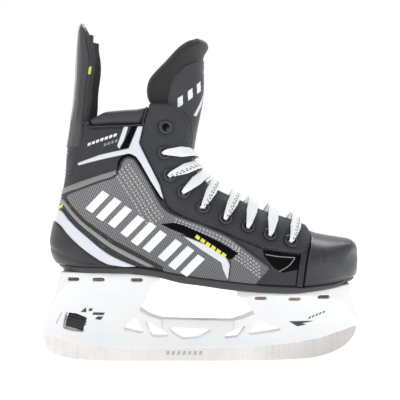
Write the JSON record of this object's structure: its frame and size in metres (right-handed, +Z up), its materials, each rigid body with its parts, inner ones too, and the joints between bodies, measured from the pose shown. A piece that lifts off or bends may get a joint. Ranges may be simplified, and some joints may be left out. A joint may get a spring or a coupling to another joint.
{
  "type": "ice hockey skate",
  "caption": "Hockey-style ice skate: laced boot with flexing tendon guard and tongue on a blade holder with a quick-release steel runner.",
  "frame": {"origin": "on the ice, under the middle of the skate's overall length and width; the runner's flat working edge is at z = 0", "axes": "+X forward to the toe, +Y to the inner (medial) side of the foot, +Z up"},
  "size_m": [0.2992, 0.099, 0.3215],
  "materials": {
    "quarter_panel": "satin woven-look composite",
    "synthetic_leather": "fine grained synthetic leather",
    "moulded_black": "satin moulded thermoplastic",
    "sole_composite": "matt composite",
    "lining": "brushed microfibre",
    "footbed_foam": "cloth-faced foam",
    "tongue_cover": "semi-gloss coated fabric",
    "felt": "dense felt",
    "lace": "flat woven polyester",
    "white_nylon": "polished glass-filled nylon",
    "runner_steel": "ground stainless steel",
    "wheel_nylon": "matt black nylon",
    "eyelet_black": "black lacquered",
    "copper": "bright copper rivet"
  },
  "bodies": {
    "boot": {"blade_holder": "white_nylon", "collar_pad_lateral": "synthetic_leather", "collar_pad_medial": "synthetic_leather", "eyelet_lateral_1": "eyelet_black", "eyelet_lateral_2": "eyelet_black", "eyelet_lateral_3": "eyelet_black", "eyelet_lateral_4": "eyelet_black", "eyelet_lateral_5": "eyelet_black", "eyelet_lateral_6": "eyelet_black", "eyelet_lateral_7": "eyelet_black", "eyelet_lateral_8": "eyelet_black", "eyelet_lateral_9": "eyelet_black", "eyelet_medial_1": "eyelet_black", "eyelet_medial_2": "eyelet_black", "eyelet_medial_3": "eyelet_black", "eyelet_medial_4": "eyelet_black", "eyelet_medial_5": "eyelet_black", "eyelet_medial_6": "eyelet_black", "eyelet_medial_7": "eyelet_black", "eyelet_medial_8": "eyelet_black", "eyelet_medial_9": "eyelet_black", "eyestay_lateral": "synthetic_leather", "eyestay_medial": "synthetic_leather", "footbed": "footbed_foam", "heel_counter": "moulded_black", "lace": "lace", "liner": "lining", "outsole": "sole_composite", "quarter_lateral": "quarter_panel", "quarter_medial": "quarter_panel", "rivet_lateral_1": "copper", "rivet_lateral_2": "copper", "rivet_lateral_3": "copper", "rivet_lateral_4": "copper", "rivet_lateral_5": "copper", "rivet_lateral_6": "copper", "rivet_medial_1": "copper", "rivet_medial_2": "copper", "rivet_medial_3": "copper", "rivet_medial_4": "copper", "rivet_medial_5": "copper", "rivet_medial_6": "copper", "toe_cap": "moulded_black", "tongue_lower": "tongue_cover"},
    "guard": {"tendon_guard": "moulded_black", "tendon_guard_liner": "lining"},
    "tongue_upper": {"tongue_top": "tongue_cover", "tongue_felt": "felt"},
    "lock_wheel": {"lock_wheel": "wheel_nylon"},
    "lock_screw": {"lock_screw": "runner_steel"},
    "runner": {"runner": "runner_steel"}
  },
  "joints": [
    {"name": "tendon_guard_flex", "type": "hinge", "parent": "boot", "child": "guard", "pos_m": [-0.121, 0, 0.2265], "axis": [0, 1, 0], "range_deg": [-25, 2], "stiffness_Nm_per_rad": 4},
    {"name": "tongue_flex", "type": "hinge", "parent": "boot", "child": "tongue_upper", "pos_m": [-0.008, 0, 0.205], "axis": [0, 1, 0], "range_deg": [-3, 30], "stiffness_Nm_per_rad": 1.5},
    {"name": "lock_wheel_turn", "type": "hinge", "parent": "boot", "child": "lock_wheel", "pos_m": [-0.1173, 0, 0.038], "axis": [0.9613, 0, -0.2756], "range_deg": [0, 1080]},
    {"name": "lock_screw_travel", "type": "slide", "parent": "boot", "child": "lock_screw", "axis": [0.9613, 0, -0.2756], "range_m": [0, 0.003]},
    {"name": "runner_release", "type": "hinge", "parent": "boot", "child": "runner", "pos_m": [0.136, 0, 0.0315], "axis": [0, 1, 0], "range_deg": [-0.7, 0]}
  ],
  "couplings": [
    {"joint": "lock_wheel_turn", "follows": "lock_screw_travel", "rad_per_m": 6283},
    {"joint": "runner_release", "follows": "lock_screw_travel", "rad_per_m": -4.0545}
  ]
}
